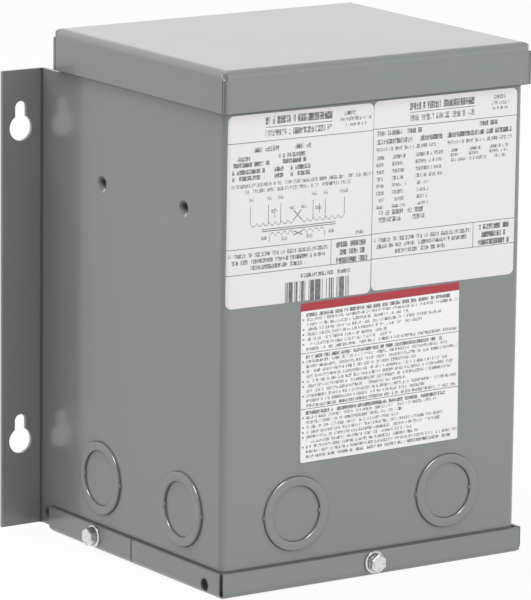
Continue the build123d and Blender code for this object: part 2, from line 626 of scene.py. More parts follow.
@dataclass(frozen=True)
class Seam(Mark):
    """Dark line along a level seam, in metres, stopped at the sides and the rear of its cover."""

    name = "seam shade"
    level: Value
    spread: Value
    reach: Value
    rear: Value
    depth: Value

    def draw(self, graph: Graph, place: Outputs) -> Socket:
        """Fade the line above and below its level.

        Args:
            graph: The group's graph.
            place: The point's X, Y and Z.

        Returns:
            The line's shade.
        """
        apart = graph.math("DIVIDE", graph.math("SUBTRACT", place["Z"], self.level), self.spread)
        fade = graph.math("POWER", FADE_BASE, graph.product(apart, apart))
        inside = graph.math("LESS_THAN", graph.math("ABSOLUTE", place["X"]), self.reach)
        ahead = graph.math("LESS_THAN", place["Y"], self.rear)
        return graph.product(fade, inside, ahead, self.depth)


@dataclass(frozen=True)
class Crease(Mark):
    """Dark upright line on both sides of the case, in metres: its place, its spread and its top."""

    name = "crease shade"
    across: Value
    along: Value
    spread: Value
    top: Value
    depth: Value

    def draw(self, graph: Graph, place: Outputs) -> Socket:
        """Fade out from the line and stop it at its top.

        Args:
            graph: The group's graph.
            place: The point's X, Y and Z.

        Returns:
            The line's shade.
        """
        across = graph.math("SUBTRACT", graph.math("ABSOLUTE", place["X"]), self.across)
        along = graph.math("SUBTRACT", place["Y"], self.along)
        spread = graph.product(self.spread, self.spread)
        fade = graph.math("POWER", FADE_BASE, graph.math("DIVIDE", graph.squares(across, along), spread))
        return graph.product(fade, graph.math("LESS_THAN", place["Z"], self.top), self.depth)


@dataclass(frozen=True)
class Spot(Mark):
    """Soft round spot on both side walls, in metres: its place along and up and its radius; it marks painted
    shade in holes and pits and painted highlights on dimple rims.
    """

    name = "punch mark"
    strength = 1.6
    along: Value
    up: Value
    radius: Value

    def draw(self, graph: Graph, place: Outputs) -> Socket:
        """Fade out from the spot's full middle.

        Args:
            graph: The group's graph.
            place: The point's X, Y and Z.

        Returns:
            The spot's shade.
        """
        along = graph.math("SUBTRACT", place["Y"], self.along)
        up = graph.math("SUBTRACT", place["Z"], self.up)
        share = graph.math("DIVIDE", graph.math("SQRT", graph.squares(along, up)), self.radius)
        fade = graph.math("SUBTRACT", self.strength, graph.product(share, self.strength))
        return graph.math("MAXIMUM", graph.math("MINIMUM", fade, 1.0), 0.0)


@dataclass(frozen=True)
class TextRows(Mark):
    """Rows of small meaningless marks with gaps like words, in millimetres from the plate's middle."""

    name = "fine print"
    half_row = 0.5
    marks_high = 5.0
    mark_most = 0.36
    letter_marks = 3.0
    word_letters = 7.0
    tag_shape = 3.5
    stem_ink = 0.6
    bar_ink = 0.55
    row_step = 31.0
    end_seed = 3.0
    stem_seed = 1.0
    bar_seed = 5.0
    space_seed = 9.0
    left: Value
    right: Value
    top: Value
    height: Value
    rows: Value = 1
    pitch: Value = 3.0
    ragged: Value = 0.0
    ink: Value = Weight.PLAIN.value

    def draw(self, graph: Graph, place: Outputs) -> Socket:
        """Cut the block into rows, words and marks.

        Args:
            graph: The group's graph.
            place: The point's X, Y and Z.

        Returns:
            The ink of the marks.
        """
        depth = graph.math("DIVIDE", graph.math("SUBTRACT", self.top, place["Z"]), self.pitch)
        row = graph.math("FLOOR", depth)
        down = graph.product(graph.math("SUBTRACT", depth, row), self.pitch)
        counted = graph.within(row, -self.half_row, self.rows)
        in_rows = graph.product(counted, graph.math("LESS_THAN", down, self.height))
        width = graph.math("SUBTRACT", self.right, self.left)
        short = graph.product(width, self.ragged, graph.hash(row, self.top, self.end_seed))
        in_line = graph.within(place["X"], self.left, graph.math("SUBTRACT", self.right, short))
        along = graph.math("SUBTRACT", place["X"], self.left)
        mark = graph.math("MINIMUM", graph.math("DIVIDE", self.height, self.marks_high), self.mark_most)
        column = graph.math("FLOOR", graph.math("DIVIDE", along, mark))
        level = graph.math("FLOOR", graph.math("DIVIDE", down, mark))
        letter = graph.math("FLOOR", graph.math("DIVIDE", column, self.letter_marks))
        seat = graph.math("ADD", graph.product(row, self.row_step), self.top)
        stem = graph.math("LESS_THAN", graph.hash(column, seat, self.stem_seed), self.ink)
        bar_draw = graph.hash(letter, graph.math("ADD", seat, level), self.bar_seed)
        bar = graph.math("LESS_THAN", bar_draw, self.ink)
        space_draw = graph.hash(letter, seat, self.space_seed)
        word = graph.math("GREATER_THAN", space_draw, 1.0 / self.word_letters)
        tag = graph.math("LESS_THAN", width, graph.product(self.height, self.tag_shape))
        shade = graph.math("ADD", graph.product(stem, self.stem_ink), graph.product(bar, self.bar_ink))
        inked = graph.product(graph.math("MINIMUM", shade, 1.0), graph.math("MAXIMUM", word, tag))
        return graph.product(in_rows, in_line, inked)


@dataclass(frozen=True)
class Box(Mark):
    """Printed rule or filled box, in millimetres from the plate's middle."""

    name = "printed box"
    left: Value
    right: Value
    low: Value
    high: Value

    def draw(self, graph: Graph, place: Outputs) -> Socket:
        """Keep what lies inside both spans."""
        across = graph.within(place["X"], self.left, self.right)
        return graph.product(across, graph.within(place["Z"], self.low, self.high))


@dataclass(frozen=True)
class Bars(Mark):
    """Printed block of upright bars of uneven width, in millimetres from the plate's middle."""

    name = "printed bars"
    filled_share = 0.52
    seeds = (2.0, 6.0)
    left: Value
    right: Value
    low: Value
    high: Value
    bar: Value = 0.33

    def draw(self, graph: Graph, place: Outputs) -> Socket:
        """Fill bars at random inside the block.

        Args:
            graph: The group's graph.
            place: The point's X, Y and Z.

        Returns:
            The ink of the bars.
        """
        across = graph.within(place["X"], self.left, self.right)
        block = graph.product(across, graph.within(place["Z"], self.low, self.high))
        column = graph.math("FLOOR", graph.math("DIVIDE", place["X"], self.bar))
        filled = graph.math("LESS_THAN", graph.hash(column, *self.seeds), self.filled_share)
        return graph.product(block, filled)


@dataclass(frozen=True)
class Coil(Mark):
    """Printed scalloped line of a winding, in millimetres from the plate's middle."""

    name = "printed coil"
    left: Value
    right: Value
    level: Value
    rise: Value
    turn: Value
    line: Value = 0.3

    def draw(self, graph: Graph, place: Outputs) -> Socket:
        """Follow a row of arches.

        Args:
            graph: The group's graph.
            place: The point's X, Y and Z.

        Returns:
            The ink of the winding.
        """
        turns = graph.math("DIVIDE", graph.math("SUBTRACT", place["X"], self.left), self.turn)
        arch = graph.math("ABSOLUTE", graph.math("SINE", graph.product(turns, math.pi)))
        curve = graph.math("ADD", self.level, graph.product(arch, self.rise))
        apart = graph.math("ABSOLUTE", graph.math("SUBTRACT", place["Z"], curve))
        on_line = graph.math("LESS_THAN", apart, graph.math("DIVIDE", self.line, 2.0))
        return graph.product(graph.within(place["X"], self.left, self.right), on_line)


@dataclass(frozen=True)
class Slant(Mark):
    """Printed sloping line from a left end, in millimetres from the plate's middle."""

    name = "printed slant"
    left: Value
    right: Value
    level: Value
    slope: Value
    line: Value = 0.3

    def draw(self, graph: Graph, place: Outputs) -> Socket:
        """Keep what lies near the slope.

        Args:
            graph: The group's graph.
            place: The point's X, Y and Z.

        Returns:
            The ink of the line.
        """
        along = graph.math("SUBTRACT", place["X"], self.left)
        curve = graph.math("ADD", self.level, graph.product(along, self.slope))
        apart = graph.math("ABSOLUTE", graph.math("SUBTRACT", place["Z"], curve))
        steep = graph.math("ADD", 1.0, graph.math("ABSOLUTE", self.slope))
        half = graph.product(graph.math("DIVIDE", self.line, 2.0), steep)
        across = graph.within(place["X"], self.left, self.right)
        return graph.product(across, graph.math("LESS_THAN", apart, half))


def overlay(graph: Graph, place: Socket, marks: Sequence[Mark]) -> Socket:
    """Lay the masks of several marks over each other.

    Args:
        graph: The material's graph.
        place: The point that the masks are worked out for.
        marks: The marks, one or more.

    Returns:
        The strongest mask at each point.
    """
    over = marks[0].mask(graph, place)
    for mark in marks[1:]:
        over = graph.math("MAXIMUM", over, mark.mask(graph, place))
    return over


class Surface:
    """Material being made: its graph, its shader and the place of a point on the piece."""

    def __init__(self, name: str) -> None:
        """Start the material with a Principled shader.

        Args:
            name: The finish's name.
        """
        self.material = bpy.data.materials.new(name)
        self.material.use_nodes = True
        self.graph = Graph(self.material.node_tree)
        self.shader = self.material.node_tree.nodes["Principled BSDF"]
        self.place = self.graph.add("ShaderNodeTexCoord").outputs["Object"]

    def feed(self, **inputs: Feed) -> None:
        """Feed the shader's inputs by their names, with underscores for spaces."""
        self.graph.feed_named(self.shader, inputs)

    def bump(self, height: Socket, **normal: Socket) -> None:
        """Raise the surface by a height in metres, from its own normal or a given one."""
        bump = self.graph.add("ShaderNodeBump", Height=height, Distance=1.0, **normal)
        self.feed(Normal=bump.outputs[0])


@dataclass(frozen=True)
class Skin:
    """Outer skin of a finish: its colour and drift, its peel and its gloss."""

    colour: Colour
    drift: float
    drift_size: float
    peel_size: float
    peel_depth: float
    roughness: float
    roughness_spread: float

    def lay_on(self, surface: Surface) -> Outputs:
        """Lay the skin on a surface.

        Args:
            surface: The material being made.

        Returns:
            The skin's colour, roughness and height.
        """
        return OrangePeel.place(
            surface.graph, Vector=surface.place, Colour=(*self.colour, 1), Drift=self.drift,
            Drift_size=self.drift_size, Peel_size=self.peel_size, Peel_depth=self.peel_depth,
            Gloss=self.roughness, Gloss_spread=self.roughness_spread,
        )


@dataclass(frozen=True)
class Enamel:
    """Glossy grey enamel on bent sheet steel, with painted shade in its crevices, seams and pits and painted
    highlights below the dimples.
    """

    shades: tuple[Mark, ...]
    burrs: tuple[Mark, ...]
    skin: Skin = Skin(
        (0.222, 0.244, 0.247), drift=0.04, drift_size=45 * MM, peel_size=1.6 * MM, peel_depth=0.004 * MM,
        roughness=0.34, roughness_spread=0.10,
    )
    rubbed: Colour = (0.42, 0.44, 0.43)
    # Colour of the painted shade in crevices, seams, creases and holes
    grime: Colour = (0.020, 0.022, 0.022)
    # Colour of the painted highlights below the dimples
    burr: Colour = (0.75, 0.76, 0.76)
    coat: float = 0.8
    coat_roughness: float = 0.14
    edge_radius: float = 0.30 * MM
    edge_patch: float = 2.5 * MM
    shade_reach: float = 1.8 * MM
    shade_patch: float = 4.0 * MM
    shade_amount: float = 0.4
    shade_roughness: float = 0.4

    def material(self) -> Material:
        """Build the enamel with its peel, its thin edges, painted shade in its crevices, seams and pits, and
        painted highlights.

        Returns:
            The material of all painted pieces.
        """
        surface = Surface("grey_enamel")
        graph = surface.graph
        place = surface.place
        skin = self.skin.lay_on(surface)
        crevice_shade = CreviceShade.place(
            graph, Vector=place, Reach=self.shade_reach, Patch_size=self.shade_patch, Amount=self.shade_amount
        )
        edge = EdgeRub.place(graph, Vector=place, Radius=self.edge_radius, Patch_size=self.edge_patch)
        worn = graph.product(edge["Mask"], crevice_shade["Open"])
        colour = graph.mix(worn, skin["Colour"], (*self.rubbed, 1))
        # Painted shade: occlusion in crevices and the marks of seams, creases and holes darken the colour
        dark = graph.math("MAXIMUM", crevice_shade["Mask"], overlay(graph, place, self.shades))
        colour = graph.mix(dark, colour, (*self.grime, 1))
        # Painted highlights: light spots on the lower rim of each dimple
        bare = overlay(graph, place, self.burrs)
        unshaded = graph.math("SUBTRACT", 1.0, dark)
        surface.feed(
            Base_Color=graph.mix(bare, colour, (*self.burr, 1)),
            Roughness=graph.math("ADD", skin["Roughness"], graph.product(dark, self.shade_roughness)),
            Coat_Weight=graph.product(unshaded, self.coat),
            Coat_Roughness=self.coat_roughness,
        )
        surface.bump(skin["Height"], Normal=edge["Normal"])
        return surface.material


@dataclass(frozen=True)
class Zinc:
    """Bright zinc plating on turned steel, with clouds and grain."""

    skin: Skin = Skin(
        (0.74, 0.75, 0.75), drift=0.25, drift_size=1.3 * MM, peel_size=0.45 * MM, peel_depth=0.016 * MM,
        roughness=0.22, roughness_spread=0.24,
    )
    dull: Colour = (0.40, 0.41, 0.41)
    grime: Colour = (0.05, 0.05, 0.05)
    cloud_detail: float = 5.0
    stain_from: float = 0.60
    stain_strength: float = 0.6
    shade_reach: float = 1.0 * MM
    shade_amount: float = 1.3

    def material(self) -> Material:
        """Build the plating with its clouds, its grain and painted shade in its crevices.

        Returns:
            The material of the screws and of bared metal.
        """
        surface = Surface("bright_zinc")
        graph = surface.graph
        place = surface.place
        patch = self.skin.drift_size
        skin = self.skin.lay_on(surface)
        crevice_shade = CreviceShade.place(
            graph, Vector=place, Reach=self.shade_reach, Patch_size=patch, Amount=self.shade_amount
        )
        cloud = graph.noise(place, 1 / patch, self.cloud_detail)
        stained = graph.product(graph.math("GREATER_THAN", cloud, self.stain_from), self.stain_strength)
        colour = graph.mix(stained, skin["Colour"], (*self.dull, 1))
        # Painted shade where ambient occlusion finds crevices
        colour = graph.mix(crevice_shade["Mask"], colour, (*self.grime, 1))
        surface.feed(Base_Color=colour, Roughness=skin["Roughness"], Metallic=1.0)
        surface.bump(skin["Height"])
        return surface.material


@dataclass(frozen=True)
class Compound:
    """Black cast compound round the core and coil, with sand grain and pour marks."""

    skin: Skin = Skin(
        (0.022, 0.022, 0.024), drift=0.5, drift_size=18 * MM, peel_size=1.1 * MM, peel_depth=0.06 * MM,
        roughness=0.55, roughness_spread=0.25,
    )

    def material(self) -> Material:
        """Build the compound.

        Returns:
            The material of the core.
        """
        surface = Surface("cast_compound")
        skin = self.skin.lay_on(surface)
        surface.feed(Base_Color=skin["Colour"], Roughness=skin["Roughness"])
        surface.bump(skin["Height"])
        return surface.material


@dataclass(frozen=True)
class Strip:
    """Level strip of a plate and its print, down to a level in millimetres from the plate's middle."""

    name: str
    low: float
    marks: tuple[Mark, ...]
    band: Optional[Box] = None


@dataclass(frozen=True)
class PlateStock:
    """White plastic film with dark print, and a band of a second ink where a strip has one."""

    name: str
    strips: tuple[Strip, ...]
    skin: Skin = Skin(
        (0.855, 0.842, 0.832), drift=0.025, drift_size=22 * MM, peel_size=3.5 * MM, peel_depth=0.012 * MM,
        roughness=0.34, roughness_spread=0.14,
    )
    ink: Colour = (0.055, 0.055, 0.06)
    ink_patches: float = 0.6
    ink_least: float = 0.62
    ink_swing: float = 0.45
    band_ink: Colour = (0.42, 0.022, 0.036)
    band_patches: float = 0.35
    band_detail: float = 4.0
    band_least: float = 0.96
    band_swing: float = 0.04

    def tinted(self, colour: Colour) -> "PlateStock":
        """The same stock on film of another colour."""
        return replace(self, skin=replace(self.skin, colour=colour))

    def material(self, strip: Strip, centre: Vector, tilt: float) -> Material:
        """Build the printed film of one strip.

        Args:
            strip: The strip and its print.
            centre: Middle of the plate's print, in metres.
            tilt: Turn of the plate on its wall, in radians.

        Returns:
            The material for that strip alone.
        """
        surface = Surface(f"{self.name}_{strip.name}")
        graph = surface.graph
        mapping = graph.add(
            "ShaderNodeMapping", Vector=surface.place, Location=tuple(centre), Rotation=(0, -tilt, 0)
        )
        mapping.vector_type = "TEXTURE"
        graph.feed(mapping.inputs["Scale"], (MM, MM, MM))
        local = mapping.outputs[0]
        printed = overlay(graph, local, strip.marks)
        skin = self.skin.lay_on(surface)
        strength = graph.patchy(graph.noise(local, self.ink_patches), self.ink_least, self.ink_swing)
        colour = graph.mix(graph.product(printed, strength), skin["Colour"], (*self.ink, 1))
        if strip.band:
            patches = graph.noise(local, self.band_patches, self.band_detail)
            faded = graph.patchy(patches, self.band_least, self.band_swing)
            band = graph.product(strip.band.mask(graph, local), faded)
            colour = graph.mix(band, colour, (*self.band_ink, 1))
        surface.feed(Base_Color=colour, Roughness=skin["Roughness"])
        surface.bump(skin["Height"])
        return surface.material


@dataclass
class SheetMetalCase:
    """Bent sheet pieces and slugs of the case, which keep their CAD shape, and the painted shade and painted
    highlights on their paint.
    """

    sheets: tuple[str, ...] = (
        "enclosure_wrap", "back_plate", "top_cover", "bottom_front_cover", "bottom_rear_cover",
    )
    core: str = "potted_core"
    sheet: float = 1.5 * MM
    seam_offset: float = 0.2 * MM
    seam_side_over: float = 1.2 * MM
    seam_rear_over: float = 0.15 * MM
    joint_over: float = 0.1 * MM
    bend_hollow: float = 0.44 * MM
    corner_inset: float = 0.1 * MM
    corner_drop: float = 3.0 * MM
    dimple_height: float = 151.3 * MM
    spare_from_front: float = 9.3 * MM
    spare_height: float = 4.05 * MM
    vent_from_wall: float = 7.3 * MM
    vent_height: float = 7.4 * MM

    def shades(self) -> tuple[Mark, ...]:
        """Work out where painted shade lies in the seams, the creases and the holes.

        Returns:
            The marks of painted shade.
        """
        lid_low, lid_high = corners("top_cover")
        wrap_low, wrap_high = corners("enclosure_wrap")
        front_cover_high = corners("bottom_front_cover")[1]
        rear_cover_low, rear_cover_high = corners("bottom_rear_cover")
        side = -corners("left_front_knockout_slug")[0].x
        reach = lid_high.x + self.seam_side_over
        bottom_seam = Seam(
            level=front_cover_high.z + self.seam_offset, spread=0.32 * MM, reach=reach,
            rear=rear_cover_high.y + self.seam_rear_over, depth=0.65,
        )
        lid_seam = Seam(
            level=lid_low.z - self.seam_offset, spread=0.4 * MM, reach=reach,
            rear=lid_high.y + self.seam_rear_over, depth=0.9,
        )
        flange_bend = Crease(
            across=side + self.bend_hollow, along=wrap_high.y - self.sheet - self.bend_hollow,
            spread=0.8 * MM, top=lid_low.z, depth=0.95,
        )
        cover_joint = Crease(
            across=lid_high.x, along=(front_cover_high.y + rear_cover_low.y) / 2,
            spread=0.4 * MM, top=front_cover_high.z + self.joint_over, depth=1.0,
        )
        lid_corner = Crease(
            across=lid_high.x - self.corner_inset, along=lid_low.y,
            spread=0.95 * MM, top=lid_high.z - self.corner_drop, depth=0.55,
        )
        # Painted shade in the spare hole, the vent and the dimple pits
        spare_hole = Spot(along=wrap_low.y + self.spare_from_front, up=self.spare_height, radius=3.4 * MM)
        vent = Spot(along=wrap_high.y - self.vent_from_wall, up=self.vent_height, radius=3.6 * MM)
        pits = self.dimple_spots(aside=0.85 * MM, above=0.6 * MM, radius=2.5 * MM)
        return (bottom_seam, lid_seam, flange_bend, cover_joint, lid_corner, *pits, spare_hole, vent)

    def burrs(self) -> tuple[Mark, ...]:
        """Painted highlights on the lower rim of each dimple."""
        return self.dimple_spots(aside=-0.75 * MM, above=-2.4 * MM, radius=0.95 * MM)

    def dimple_spots(self, aside: float, above: float, radius: float) -> tuple[Mark, ...]:
        """Spots by the dimples of a side wall, which stand over its knockouts.

        Args:
            aside: How far each spot lies behind its dimple's middle.
            above: How far it lies above it.
            radius: Radius of each spot.

        Returns:
            One spot for each dimple.
        """
        columns = [middle(f"left_{end}_knockout_slug").y for end in ("front", "rear")]
        return tuple(Spot(along + aside, self.dimple_height + above, radius) for along in columns)

    def dress(self, enamel: Material, compound: Material) -> list[str]:
        """Paint the sheets, the slugs and the cast core.

        Args:
            enamel: Finish of the sheets and slugs.
            compound: Finish of the core.

        Returns:
            The names of the dressed nodes.
        """
        slugs = [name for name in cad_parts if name.endswith("_knockout_slug")]
        finishes = {name: enamel for name in (*self.sheets, *slugs)}
        finishes[self.core] = compound
        for name, finish in finishes.items():
            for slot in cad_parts[name].material_slots:
                slot.material = finish
        return list(finishes)


@dataclass
class KnockoutRings:
    """Raised rings of the knockouts, with rolled edges and the ties that hold them."""

    enamel: Material
    bare: Material
    roll: float = 0.5 * MM
    roll_steps: int = 5
    turn_steps: int = 144
    outer_gap: float = 0.06 * MM
    inner_gap: float = 0.14 * MM
    sheet: float = 1.5 * MM
    tie_width: float = 1.6 * MM
    tie_reach: float = 0.6 * MM
    tie_height: float = 0.6 * MM
    tie_roll: float = 0.15 * MM
    tie_roll_steps: int = 2
    # Half-way direction between the camera and the glint lamp: rolled faces within the cone about it get bare
    # zinc as a painted highlight
    highlight_facing: tuple[float, float, float] = (-0.421, -0.672, 0.608)
    highlight_cone: float = math.radians(11)

    def build(self) -> list[Piece]:
        """Model one ring and copy it to every knockout.

        Returns:
            The rings.
        """
        names = [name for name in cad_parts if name.endswith("_knockout_ring")]
        pattern = self.model(next(name for name in names if Wall.of(name) is Wall.FRONT))
        rings = []
        for name in names:
            ring = Bench.copy(pattern, name.replace("_ring", "_rolled_ring"))
            self.seat(ring, name)
            self.dress(ring, Wall.of(name))
            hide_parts(name)
            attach(ring, BODY)
            rings.append(ring)
        bpy.data.objects.remove(pattern, do_unlink=True)
        return rings

    def model(self, node: str) -> Piece:
        """Model a ring about the Z axis, its wall face at Z = 0.

        Args:
            node: A ring on the front wall, which gives the sizes.

        Returns:
            The ring, not yet in its place.
        """
        low, high = corners(node)
        slug_low, slug_high = corners(node.replace("_ring", "_slug"))
        outer = (high.z - low.z) / 2 - self.outer_gap
        inner = (slug_high.z - slug_low.z) / 2 + self.inner_gap
        step = slug_low.y - low.y
        Bench.clear()
        bpy.ops.mesh.primitive_plane_add(
            size=1, location=((outer + inner) / 2, 0, step - self.sheet / 2), rotation=(math.pi / 2, 0, 0)
        )
        ring = bpy.context.object
        ring.scale = (outer - inner, self.sheet, 1)
        Bench.settle(ring)
        Bench.edit(ring)
        Bench.select(ring, Pick.VERT, lambda vert: vert.co.z > step - self.roll)
        bpy.ops.mesh.bevel(offset=self.roll, segments=self.roll_steps, affect="VERTICES")
        bpy.ops.mesh.select_all(action="SELECT")
        bpy.ops.mesh.delete(type="ONLY_FACE")
        bpy.ops.mesh.select_all(action="SELECT")
        bpy.ops.mesh.spin(steps=self.turn_steps, angle=2 * math.pi, center=(0, 0, 0), axis=(0, 0, 1))
        Bench.close()
        Bench.unite(ring, [self.tie(sign * edge) for sign in (-1, 1) for edge in (outer, inner)])
        Bench.smooth(ring)
        return ring

    def tie(self, x: float) -> Piece:
        """Model one tie across a ring's edge.

        Args:
            x: Where the edge is, on X.

        Returns:
            The tie, with its upper edges rolled.
        """
        Bench.clear()
        bpy.ops.mesh.primitive_cube_add(
            size=1, location=(x, 0, self.tie_height / 2),
            scale=(2 * self.tie_reach, self.tie_width, self.tie_height),
        )
        tie = bpy.context.object
        Bench.settle(tie)
        Bench.edit(tie)
        Bench.select_above(tie, self.tie_height / 2)
        bpy.ops.mesh.bevel(offset=self.tie_roll, segments=self.tie_roll_steps, affect="EDGES")
        Bench.clear()
        return tie

    def seat(self, ring: Piece, node: str) -> None:
        """Turn a ring to its wall and put it where its CAD node is.

        Args:
            ring: A copy of the pattern.
            node: The ring's CAD node.
        """
        wall = Wall.of(node)
        ring.rotation_euler = (math.pi / 2, 0, wall.value)
        ring.location = middle(node.replace("_ring", "_slug")) + wall.out * self.sheet / 2
        Bench.settle(ring)

    def dress(self, ring: Piece, wall: Wall) -> None:
        """Paint a ring, and give bare zinc, a painted highlight, to the faces of its rolled edges that turn
        towards the glint lamp.

        Args:
            ring: The ring in its place.
            wall: The wall that it stands out of; the right wall mirrors the left.
        """
        Bench.paint(ring, self.enamel, self.bare)
        facing = Vector(self.highlight_facing)
        if wall is Wall.RIGHT:
            facing.x = -facing.x
        # Painted highlight: bare zinc on the faces that mirror the glint lamp into the camera
        for face in ring.data.polygons:
            face.material_index = int(face.normal.dot(facing) > math.cos(self.highlight_cone))


@dataclass
class CornerReliefs:
    """Round reliefs at the lid's four corners, each a painted dish with a bare rim."""

    enamel: Material
    bare: Material
    sides: int = 40
    radius: float = 1.45 * MM
    depth: float = 1.6 * MM
    rim: float = 0.32 * MM
    dish: float = 0.35 * MM
    roll: float = 0.08 * MM
    roll_steps: int = 2
    drop: float = 2.3 * MM
    sink: float = 1.15 * MM
    bare_share: float = 0.7
    downward: float = -0.1

    def build(self) -> list[Piece]:
        """Model one relief and copy it to every corner.

        Returns:
            The reliefs.
        """
        pattern = self.model()
        low, high = corners("top_cover")
        reliefs = []
        for across, x in (("left", low.x), ("right", high.x)):
            for along, y in (("front", low.y), ("rear", high.y)):
                relief = Bench.copy(pattern, f"lid_{along}_{across}_corner_relief")
                out = Vector((math.copysign(1, x), math.copysign(1, y), 0)).normalized()
                relief.rotation_euler = out.to_track_quat("Z", "Y").to_euler()
                relief.location = Vector((x, y, high.z - self.drop)) - out * self.sink
                Bench.settle(relief)
                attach(relief, BODY)
                reliefs.append(relief)
        bpy.data.objects.remove(pattern, do_unlink=True)
        return reliefs

    def model(self) -> Piece:
        """Model the dish about the Z axis with its rim at Z = 0.

        Returns:
            The relief, not yet in its place.
        """
        relief = Bench.cylinder(self.sides, self.radius, -self.depth, 0)
        Bench.select(relief, Pick.FACE, lambda face: face.normal.z > LEVEL_FACE)
        bpy.ops.mesh.inset(thickness=self.rim)
        bpy.ops.transform.translate(value=(0, 0, -self.dish))
        bpy.ops.mesh.inset(thickness=self.rim)
        Bench.select_above(relief, -self.roll)
        bpy.ops.mesh.bevel(offset=self.roll, segments=self.roll_steps, affect="EDGES")
        Bench.close()
        Bench.smooth(relief)
        Bench.paint(relief, self.enamel, self.bare)
        rim_foot = -self.dish * self.bare_share
        for face in relief.data.polygons:
            face.material_index = int(face.center.z > rim_foot and face.normal.z > self.downward)
        return relief


@dataclass
class CoverScrews:
    """Hexagon screws with a washer face that hold the bottom covers."""

    zinc: Material
    hexagon_sides: int = 6
    hexagon_flats: float = 6.6 * MM
    hexagon_height: float = 3.0 * MM
    crown: float = 0.55 * MM
    crown_steps: int = 3
    crown_profile: float = 0.6
    corner_break: float = 0.12 * MM
    corner_steps: int = 2
    dish_rim: float = 0.75 * MM
    dish_depth: float = 0.25 * MM
    washer_radius: float = 4.6 * MM
    washer_thickness: float = 0.9 * MM
    washer_sides: int = 72
    washer_steps: int = 4
    shank_radius: float = 2.0 * MM
    shank_length: float = 11.0 * MM
    shank_sides: int = 40
    lead_in_share: float = 1 / 3
    lead_in_steps: int = 2
    sink: float = 0.2 * MM

    def build(self) -> list[Piece]:
        """Model one screw and copy it to every cover hole.

        Returns:
            The screws.
        """
        pattern = self.head()
        Bench.unite(pattern, (self.washer(), self.shank()))
        Bench.smooth(pattern)
        screws = []
        for name in [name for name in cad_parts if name.endswith("_cover_screw")]:
            screw = Bench.copy(pattern, f"{name}_plated")
            self.seat(screw, name)
            Bench.paint(screw, self.zinc)
            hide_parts(name)
            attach(screw, BODY)
            screws.append(screw)
        bpy.data.objects.remove(pattern, do_unlink=True)
        return screws

    def head(self) -> Piece:
        """Model the crowned hexagon with its dished top.

        Returns:
            The hexagon, sunk a little into the washer face.
        """
        top = self.washer_thickness + self.hexagon_height
        half = self.hexagon_height / 2
        corner_radius = self.hexagon_flats / math.sqrt(3)
        head = Bench.cylinder(self.hexagon_sides, corner_radius, self.washer_thickness - self.sink, top)
        Bench.select_above(head, top - self.sink)
        bpy.ops.mesh.bevel(
            offset=self.crown, segments=self.crown_steps, profile=self.crown_profile, affect="EDGES"
        )
        Bench.select(head, Pick.EDGE, lambda edge: abs(edge.verts[0].co.z - edge.verts[1].co.z) > half)
        bpy.ops.mesh.bevel(offset=self.corner_break, segments=self.corner_steps, affect="EDGES")
        Bench.select(head, Pick.FACE, lambda face: face.normal.z > LEVEL_FACE)
        bpy.ops.mesh.inset(thickness=self.dish_rim)
        bpy.ops.transform.translate(value=(0, 0, -self.dish_depth))
        bpy.ops.mesh.inset(thickness=self.dish_rim / 2)
        Bench.close()
        return head

    def washer(self) -> Piece:
        """Model the washer face.

        Returns:
            The washer face with its rounded rim.
        """
        half = self.washer_thickness / 2
        washer = Bench.cylinder(self.washer_sides, self.washer_radius, 0, self.washer_thickness)
        Bench.select_above(washer, half)
        bpy.ops.mesh.bevel(offset=half, segments=self.washer_steps, affect="EDGES")
        Bench.close()
        return washer

    def shank(self) -> Piece:
        """Model the shank.

        Returns:
            The shank with a blunt lead-in at its end.
        """
        shank = Bench.cylinder(self.shank_sides, self.shank_radius, -self.shank_length, self.sink)
        half_way = -self.shank_length / 2
        Bench.select(shank, Pick.EDGE, lambda edge: all(vert.co.z < half_way for vert in edge.verts))
        lead_in = self.shank_radius * self.lead_in_share
        bpy.ops.mesh.bevel(offset=lead_in, segments=self.lead_in_steps, affect="EDGES")
        Bench.close()
        return shank

    def seat(self, screw: Piece, node: str) -> None:
        """Turn a screw to its wall and put it where its CAD node is.

        Args:
            screw: A copy of the pattern.
            node: The screw's CAD node.
        """
        wall = Wall.of(node)
        reach = (self.washer_thickness + self.hexagon_height - self.shank_length) / 2
        screw.rotation_euler = (math.pi / 2, 0, wall.value)
        screw.location = middle(node) - wall.out * reach
        Bench.settle(screw)


